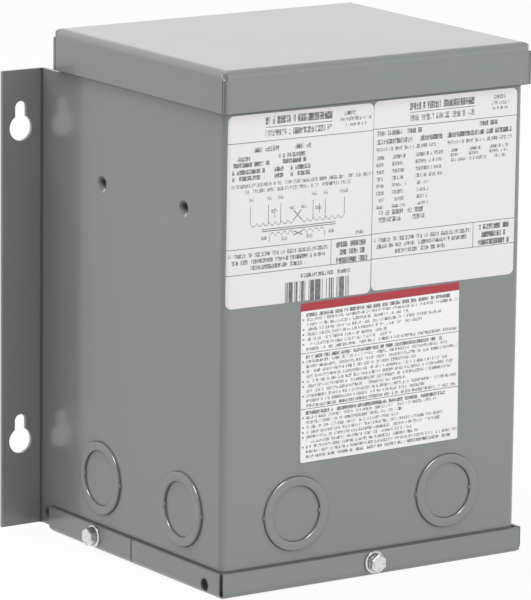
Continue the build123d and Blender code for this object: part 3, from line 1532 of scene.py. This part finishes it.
@dataclass
class Plate:
    """Printed film plate on the front of the case, wrapped round the bend where it reaches it."""

    name: str
    left: float
    right: float
    low: float
    high: float
    stock: PlateStock
    tilt: float = 0.0
    print_shift: tuple[float, float] = (0.0, 0.0)
    corner: float = 2.4 * MM
    corner_steps: int = 6
    thickness: float = 0.12 * MM
    seat_gap: float = 0.03 * MM
    bend_radius: float = 3.0 * MM
    bend_steps: int = 8
    bend_grip_share: float = 0.1

    def build(self) -> Piece:
        """Model the plate, print it and let it ride.

        Returns:
            The plate on the front of the case.
        """
        face_y = corners("enclosure_wrap")[0].y - self.seat_gap
        centre = Vector(((self.left + self.right) / 2, face_y, (self.low + self.high) / 2))
        print_centre = centre + Vector((self.print_shift[0], 0, self.print_shift[1]))
        plate = self.cut_out(centre, print_centre.z)
        flat_end = corners("left_front_knockout_slug")[0].x + self.bend_radius
        if self.left < flat_end:
            self.wrap(plate, flat_end, face_y)
        Bench.take(plate)
        film = plate.modifiers.new("film", "SOLIDIFY")
        film.thickness = self.thickness
        film.offset = 1.0
        bpy.ops.object.modifier_apply(modifier=film.name)
        Bench.smooth(plate)
        self.print_on(plate, print_centre)
        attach(plate, BODY)
        return plate

    def cut_out(self, centre: Vector, print_level: float) -> Piece:
        """Cut the flat plate with its round corners, part it into strips and tilt it.

        Args:
            centre: Middle of the plate.
            print_level: Level of the print's middle.

        Returns:
            The flat plate, open in edit mode.
        """
        Bench.clear()
        bpy.ops.mesh.primitive_plane_add(size=1, location=centre, rotation=(math.pi / 2, 0, 0))
        plate = bpy.context.object
        plate.name = plate.data.name = self.name
        plate.scale = (self.right - self.left, self.high - self.low, 1)
        Bench.settle(plate)
        Bench.edit(plate)
        bpy.ops.mesh.select_all(action="SELECT")
        bpy.ops.mesh.bevel(offset=self.corner, segments=self.corner_steps, affect="VERTICES")
        for strip in self.stock.strips[:-1]:
            bpy.ops.mesh.select_all(action="SELECT")
            bpy.ops.mesh.bisect(plane_co=(0, 0, print_level + strip.low * MM), plane_no=(0, 0, 1))
        bpy.ops.mesh.select_all(action="SELECT")
        bpy.ops.transform.rotate(
            value=self.tilt, orient_axis="Y", orient_type="GLOBAL", center_override=tuple(centre)
        )
        return plate

    def wrap(self, plate: Piece, flat_end: float, face_y: float) -> None:
        """Roll the open plate's left end round the bend of the case.

        Args:
            plate: The flat plate, open in edit mode.
            flat_end: Where the flat of the case ends, on X.
            face_y: Where the plate lies, on Y.
        """
        stride = (flat_end - self.left) / self.bend_steps
        grip = stride * self.bend_grip_share
        cuts = [flat_end - step * stride for step in range(self.bend_steps)]
        for cut in cuts:
            bpy.ops.mesh.select_all(action="SELECT")
            bpy.ops.mesh.bisect(plane_co=(cut, 0, 0), plane_no=(1, 0, 0))
        bpy.ops.object.mode_set(mode="OBJECT")
        laid_out = [vert.co.x for vert in plate.data.vertices]
        bpy.ops.object.mode_set(mode="EDIT")
        turn = stride / self.bend_radius
        joint = Vector((flat_end, face_y, 0))
        for step, cut in enumerate(cuts):
            Bench.select(plate, Pick.VERT, lambda vert: laid_out[vert.index] < cut - grip)
            bpy.ops.transform.rotate(
                value=turn, orient_axis="Z", orient_type="GLOBAL", center_override=tuple(joint)
            )
            heading = turn * (step + 1)
            joint += stride * Vector((-math.cos(heading), math.sin(heading), 0))

    def print_on(self, plate: Piece, centre: Vector) -> None:
        """Give every strip of the plate its printed film.

        Args:
            plate: The finished plate.
            centre: Middle of its print.
        """
        strips = self.stock.strips
        Bench.paint(plate, *(self.stock.material(strip, centre, self.tilt) for strip in strips))
        up = Vector((-math.sin(self.tilt), 0, math.cos(self.tilt))) / MM
        for face in plate.data.polygons:
            level = (face.center - centre).dot(up)
            face.material_index = sum(level < strip.low for strip in strips[:-1])


def rule(left: float, right: float, level: float, line: float = RULE_LINE) -> Box:
    """Level printed rule."""
    return Box(left, right, level - line / 2, level + line / 2)


def lead(x: float, low: float, high: float) -> Box:
    """Upright printed rule."""
    return Box(x - RULE_LINE / 2, x + RULE_LINE / 2, low, high)


def light(*sizes: float) -> TextRows:
    """Printed rows of light weight."""
    return TextRows(*sizes, ink=Weight.LIGHT.value)


def heavy(*sizes: float) -> TextRows:
    """Printed rows of heavy weight."""
    return TextRows(*sizes, ink=Weight.HEAVY.value)


def left_plate_strips() -> tuple[Strip, ...]:
    """Print of the left plate: heading, ratings, winding picture, notes and bars.

    Returns:
        The strips from the top down.
    """
    leads = [(-23.4, -5.4), (-15.0, -6.2), (-9.2, -6.2), (6.0, -6.2), (11.8, -6.2), (20.9, -5.4)]
    taps = [(-12.0, -3.8), (9.0, -3.8)]
    tags = [(-24.7, -22.1), (-16.3, -13.7), (-11.1, -8.0), (4.7, 7.6), (10.2, 13.0), (18.1, 22.4)]
    lead_top = 1.6
    core_line = 0.35
    return (
        Strip("heading", 26.2, (
            heavy(-17.0, 14.4, 36.2, 3.0),
            rule(-16.8, 14.4, 32.1),
            light(-17.0, 14.2, 31.0, 2.5),
            TextRows(20.2, 25.6, 35.5, 1.6),
            light(18.4, 33.0, 33.1, 1.5),
            light(20.6, 30.6, 30.7, 1.2),
            rule(-36.0, 36.0, 26.75),
        )),
        Strip("ratings", 11.5, (
            TextRows(-22.4, -10.6, 24.6, 2.0),
            TextRows(-3.1, 4.4, 24.6, 2.0),
            TextRows(-30.0, -24.0, 21.3, 1.8),
            TextRows(-10.9, 1.8, 21.3, 1.8),
            heavy(-32.8, -15.0, 19.0, 1.8),
            heavy(-9.8, 2.2, 19.0, 1.8),
            heavy(-32.2, -17.0, 16.2, 1.8, 2, 2.5),
            heavy(-12.5, -8.3, 16.2, 1.8, 2, 2.5),
            heavy(-4.9, 4.4, 16.2, 1.8, 2, 2.5),
        )),
        Strip("notes", 0.0, (
            light(-32.6, 34.4, 10.5, 1.5),
            light(-25.9, 23.6, 8.2, 1.5),
            *(light(left, right, 4.8, 1.5) for left, right in tags),
            *(lead(x, low, lead_top) for x, low in leads),
        )),
        Strip("windings", -7.2, (
            *(lead(x, low, lead_top) for x, low in (*leads, *taps)),
            light(-13.8, -11.1, -0.5, 1.4),
            light(-5.4, -2.8, 0.2, 1.4),
            light(-0.2, 2.8, 0.2, 1.4),
            light(7.1, 10.0, -0.9, 1.4),
            Coil(-23.4, -2.8, -5.4, -1.3, 2.943),
            Coil(0.6, 20.9, -5.4, -1.3, 2.9),
            Slant(-3.2, 0.6, -5.6, 1.05),
            Slant(-3.2, 0.6, -1.6, -1.05),
        )),
        Strip("core", -14.5, (
            rule(-18.0, 16.9, -8.1, core_line),
            rule(-18.0, 16.9, -8.9, core_line),
            Coil(-14.4, -3.0, -11.2, 1.5, 2.85),
            Coil(0.4, 11.8, -11.2, 1.5, 2.85),
            Slant(-3.0, 1.2, -9.9, -0.45),
            Slant(-3.0, 1.2, -11.6, 0.35),
            lead(-14.4, -13.2, -11.0),
            lead(11.8, -13.2, -11.0),
            light(-18.4, -15.6, -10.8, 1.4),
            light(-8.6, -6.0, -11.8, 1.4),
            light(3.2, 6.0, -11.8, 1.4),
            light(13.4, 16.2, -10.8, 1.4),
            light(26.4, 30.2, -12.6, 1.4),
        )),
        Strip("foot", -25.6, (
            rule(-36.0, 36.0, -15.0),
            rule(-36.0, 36.0, -25.15),
            lead(14.9, -25.15, -15.0),
            TextRows(-33.4, 13.4, -16.9, 1.7),
            TextRows(-31.9, 12.0, -19.5, 1.7),
            TextRows(-23.0, 2.8, -22.0, 1.7),
            heavy(17.4, 32.4, -16.4, 2.2),
            heavy(19.0, 31.0, -19.5, 2.2),
            heavy(17.4, 32.4, -22.7, 2.2),
        )),
        Strip("bars", -40.0, (
            TextRows(0.8, 24.3, -27.4, 1.6),
            Bars(-6.8, 24.0, -40.0, -30.3),
        )),
    )


def right_plate_strips() -> tuple[Strip, ...]:
    """Print of the right plate: heading, table of connections and notes.

    Returns:
        The strips from the top down.
    """
    table_pitch = 2.83
    side_pitch = 1.9
    return (
        Strip("heading", 26.5, (
            heavy(-17.9, 13.8, 36.1, 2.9),
            rule(-17.9, 13.8, 32.3),
            light(-17.9, 13.8, 31.2, 2.5),
            TextRows(23.4, 28.9, 36.0, 1.7),
            light(21.9, 30.8, 33.6, 1.6),
            light(22.7, 30.7, 31.3, 1.2),
            rule(-36.0, 36.0, 27.0),
        )),
        Strip("ratings", 16.8, (
            TextRows(-33.7, -21.5, 26.0, 2.0),
            heavy(-19.1, -11.8, 26.0, 2.0),
            heavy(16.3, 25.2, 26.0, 2.0),
            TextRows(-33.7, -16.5, 22.6, 2.0),
            heavy(-12.8, -1.8, 22.6, 2.0),
            heavy(0.4, 32.3, 22.6, 2.0),
            light(-33.7, -3.6, 19.3, 1.5),
            light(0.8, 32.7, 19.3, 1.5),
        )),
        Strip("table", -5.2, (
            light(-33.5, -29.9, 16.0, 1.5, 8, table_pitch),
            light(-25.9, -19.0, 16.0, 1.5, 8, table_pitch, 0.15),
            light(-14.6, -0.9, 16.0, 1.5, 4, table_pitch, 0.05),
            light(-14.0, -7.9, 4.7, 1.5, 4, table_pitch, 0.05),
            light(2.5, 6.0, 16.0, 1.3, 2, side_pitch),
            light(11.5, 17.5, 16.0, 1.3, 2, side_pitch, 0.1),
            light(21.5, 32.5, 16.0, 1.3, 2, side_pitch, 0.3),
            light(2.5, 20.0, 12.1, 1.4),
            light(24.0, 29.5, 12.1, 1.4),
        )),
        Strip("notes", -14.4, (
            TextRows(-32.2, -9.5, -5.9, 2.0),
            TextRows(-32.0, -21.2, -8.7, 2.0),
            TextRows(-15.5, -9.8, -8.7, 2.0),
        )),
        Strip("foot", -40.0, (
            rule(-36.0, 36.0, -14.9),
            rule(-36.0, 36.0, -25.0),
            lead(14.3, -25.0, -14.9),
            TextRows(-34.2, 13.0, -16.9, 1.7),
            TextRows(-32.9, 11.1, -19.4, 1.7),
            TextRows(-23.7, 2.0, -21.9, 1.7),
            heavy(17.0, 32.2, -16.1, 2.2),
            heavy(18.5, 30.3, -19.2, 2.2),
            heavy(17.0, 32.2, -22.3, 2.2),
        )),
    )


def lower_sticker_strips() -> tuple[Strip, ...]:
    """Print of the lower sticker: a coloured band and three paragraphs between rules.

    Returns:
        The strips from the top down.
    """
    pitch = 1.98
    dot = 0.7
    dot_left = -37.4
    dot_drop = 0.6
    foot_margin = 0.3
    band = Box(-39.0, 39.0, 28.9, 33.0)
    paragraphs = (
        ("first", 28.0, 8, 11.95, (1, 3, 4, 5, 6), band),
        ("second", 11.1, 11, -10.55, (1, 3, 5, 6, 8), None),
        ("third", -11.5, 10, -40.0, (1, 3, 4, 5, 7), None),
    )
    strips = []
    for name, top, rows, foot, dotted_rows, over in paragraphs:
        last = top - (rows - 1) * pitch
        marks: list[Mark] = [
            heavy(-35.8, 34.0, top, 1.45, 1, pitch, 0.06),
            light(-35.6, 38.0, top - pitch, 1.25, rows - 2, pitch, 0.5),
            TextRows(-35.6, 37.4, last, 1.25, 1, pitch, 0.05),
            rule(-39.0, 39.0, foot),
        ]
        for row in dotted_rows:
            level = top - row * pitch - dot_drop
            marks.append(Box(dot_left, dot_left + dot, level - dot / 2, level + dot / 2))
        strips.append(Strip(name, foot - foot_margin, tuple(marks), over))
    return tuple(strips)


def front_plates() -> list[Plate]:
    """The three printed plates of the front, with their sizes and print.

    Returns:
        The plates, not yet built.
    """
    sticker_film = PlateStock("lower_sticker_film", lower_sticker_strips()).tinted((0.945, 0.945, 0.94))
    return [
        Plate(
            "left_rating_plate", -70.4 * MM, -2.15 * MM, 115.75 * MM, 191.8 * MM,
            PlateStock("left_plate_film", left_plate_strips()), tilt=math.radians(-0.36),
            print_shift=(0, 0.32 * MM),
        ),
        Plate(
            "right_rating_plate", -1.85 * MM, 67.9 * MM, 116.05 * MM, 191.95 * MM,
            PlateStock("right_plate_film", right_plate_strips()), tilt=math.radians(-0.2),
            print_shift=(0.15 * MM, -0.12 * MM),
        ),
        Plate(
            "lower_sticker", -35.05 * MM, 41.35 * MM, 50.7 * MM, 114.95 * MM, sticker_film,
            tilt=math.radians(0.48), corner=0.8 * MM,
        ),
    ]


@dataclass(frozen=True)
class Lamp:
    """Soft square lamp: degrees round the object from its front and above it, metres and watts."""

    name: str
    azimuth: float
    elevation: float
    distance: float
    size: float
    power: float
    tint: Colour = (1.0, 1.0, 1.0)
    mirrored: bool = True

    def hang(self, target: Vector) -> None:
        """Hang the lamp so that it faces a point.

        Args:
            target: The point that it lights.
        """
        data = bpy.data.lights.new(self.name, "AREA")
        data.size = self.size
        data.energy = self.power
        data.color = self.tint
        lamp = bpy.data.objects.new(self.name, data)
        lamp.visible_glossy = self.mirrored
        away = direction(math.radians(self.azimuth), math.radians(self.elevation))
        lamp.location = target + away * self.distance
        lamp.rotation_euler = away.to_track_quat("Z", "Y").to_euler()
        bpy.context.scene.collection.objects.link(lamp)


@dataclass
class Studio:
    """Pale floor, soft lamps, white surroundings and the camera."""

    floor_size: float = 14.0
    floor_colour: Colour = (0.85, 0.85, 0.85)
    floor_bounce: Colour = (0.38, 0.38, 0.38)
    floor_roughness: float = 0.9
    floor_glow: float = 0.93
    floor_patches: float = 3.0
    floor_least: float = 0.985
    floor_swing: float = 0.03
    ambient: float = 0.43
    fade_from: float = 0.30
    fade_to: float = 0.75
    zenith: float = 0.40
    white: tuple[float, float, float, float] = (1.0, 1.0, 1.0, 1.0)
    lamps: tuple[Lamp, ...] = (
        Lamp("key", 18, 14, 1.7, 1.1, 14.1, mirrored=False),
        Lamp("fill", -80, 14, 1.8, 1.2, 2.0, tint=(1.0, 0.91, 0.98)),
        Lamp("top", -150, 55, 1.6, 1.2, 20.0, tint=(1.0, 0.94, 0.88), mirrored=False),
        Lamp("glint", -28, 63, 1.5, 0.6, 5.0),
    )
    focal_pixels: float = 5195.093
    image_height: float = 600.0
    image_centre: tuple[float, float] = (265.5, 300.0)
    target_pixel: tuple[float, float] = (317.445, 300.361)
    azimuth: float = math.radians(-34.011)
    elevation: float = math.radians(11.871)
    roll: float = math.radians(0.648)
    distance: float = 2088.8 * MM
    view_end: float = 100.0
    target: Vector = field(default_factory=lambda: Vector((0, -28.55, 105)) * MM)

    def build(self) -> None:
        """Set the floor, the surroundings, the lamps and the camera."""
        self.floor()
        self.surroundings()
        for lamp in self.lamps:
            lamp.hang(self.target)
        self.camera()

    def floor(self) -> None:
        """Lay a level floor that is white to the eye and keeps the object's shadow."""
        Bench.clear()
        bpy.ops.mesh.primitive_plane_add(size=self.floor_size, location=(0, 0, 0))
        floor = bpy.context.object
        floor.name = "pale_floor"
        surface = Surface("pale_floor")
        graph = surface.graph
        patches = graph.noise(surface.place, self.floor_patches)
        tone = graph.patchy(patches, self.floor_least, self.floor_swing)
        tinted = graph.mix(tone, (0, 0, 0, 1), (*self.floor_colour, 1))
        camera = graph.add("ShaderNodeLightPath").outputs["Is Camera Ray"]
        surface.feed(
            Base_Color=graph.mix(camera, (*self.floor_bounce, 1), tinted), Roughness=self.floor_roughness
        )
        glow = graph.add("ShaderNodeEmission", Color=self.white, Strength=1.0).outputs[0]
        seen = graph.product(self.seen_directly(graph), self.floor_glow)
        output = surface.material.node_tree.nodes["Material Output"]
        graph.feed(output.inputs["Surface"], graph.blend(seen, surface.shader.outputs[0], glow))
        Bench.paint(floor, surface.material)

    @staticmethod
    def seen_directly(graph: Graph) -> Socket:
        """Mask of rays from the camera, from gloss and through glass.

        Args:
            graph: Graph of the floor or the surroundings.

        Returns:
            One for those rays and zero for the rest.
        """
        path = graph.add("ShaderNodeLightPath").outputs
        mirrored = graph.math("MAXIMUM", path["Is Glossy Ray"], path["Is Transmission Ray"])
        return graph.math("MAXIMUM", path["Is Camera Ray"], mirrored)

    def surroundings(self) -> None:
        """Wrap the scene in white that is seen at full strength and lights softly."""
        world = bpy.data.worlds.new("studio")
        world.use_nodes = True
        world.node_tree.nodes.clear()
        bpy.context.scene.world = world
        graph = Graph(world.node_tree)
        up = graph.add("ShaderNodeTexCoord").outputs["Generated"]
        height = graph.add("ShaderNodeSeparateXYZ", Vector=up).outputs["Z"]
        fade = graph.add("ShaderNodeMapRange")
        for index, value in enumerate((height, self.fade_from, self.fade_to, 1.0, self.zenith)):
            graph.feed(fade.inputs[index], value)
        camera = graph.add("ShaderNodeLightPath").outputs["Is Camera Ray"]
        level = graph.math("MAXIMUM", fade.outputs[0], camera)
        shown = graph.add("ShaderNodeBackground", Color=self.white, Strength=level).outputs[0]
        soft = graph.add("ShaderNodeBackground", Color=self.white, Strength=self.ambient).outputs[0]
        output = graph.add("ShaderNodeOutputWorld")
        graph.feed(output.inputs["Surface"], graph.blend(self.seen_directly(graph), soft, shown))

    def camera(self) -> None:
        """Stand the camera where the photograph was taken from."""
        back = direction(self.azimuth, self.elevation)
        right = (-back).cross(Vector((0, 0, 1))).normalized()
        up = right.cross(-back)
        across = math.cos(self.roll) * right + math.sin(self.roll) * up
        upright = math.cos(self.roll) * up - math.sin(self.roll) * right
        aside = (self.target_pixel[0] - self.image_centre[0]) / self.focal_pixels * self.distance
        above = (self.target_pixel[1] - self.image_centre[1]) / self.focal_pixels * self.distance
        data = bpy.data.cameras.new("camera")
        data.sensor_fit = "VERTICAL"
        data.lens = self.focal_pixels * data.sensor_height / self.image_height
        data.clip_end = self.view_end
        camera = bpy.data.objects.new("camera", data)
        camera.location = self.target + back * self.distance - across * aside + upright * above
        basis = camera.matrix_world.to_3x3()
        basis.col[0], basis.col[1], basis.col[2] = across, upright, back
        camera.rotation_euler = basis.to_euler()
        bpy.context.scene.collection.objects.link(camera)
        bpy.context.scene.camera = camera


def report(pieces: Iterable[Piece]) -> None:
    """Log each finished piece with its count of faces."""
    for piece in pieces:
        LOG.info("%s: %d faces", piece.name, len(piece.data.polygons))


def main() -> None:
    """Build every sub-assembly in order."""
    logging.basicConfig(level=logging.INFO, format="%(name)s %(message)s")
    bpy.context.scene.view_settings.view_transform = "Standard"
    case = SheetMetalCase()
    enamel = Enamel(case.shades(), case.burrs()).material()
    for name in case.dress(enamel, Compound().material()):
        LOG.info("%s: dressed", name)
    zinc = Zinc().material()
    report(KnockoutRings(enamel, zinc).build())
    report(CornerReliefs(enamel, zinc).build())
    report(CoverScrews(zinc).build())
    report(plate.build() for plate in front_plates())
    Studio().build()


if __name__ == "__main__":
    main()
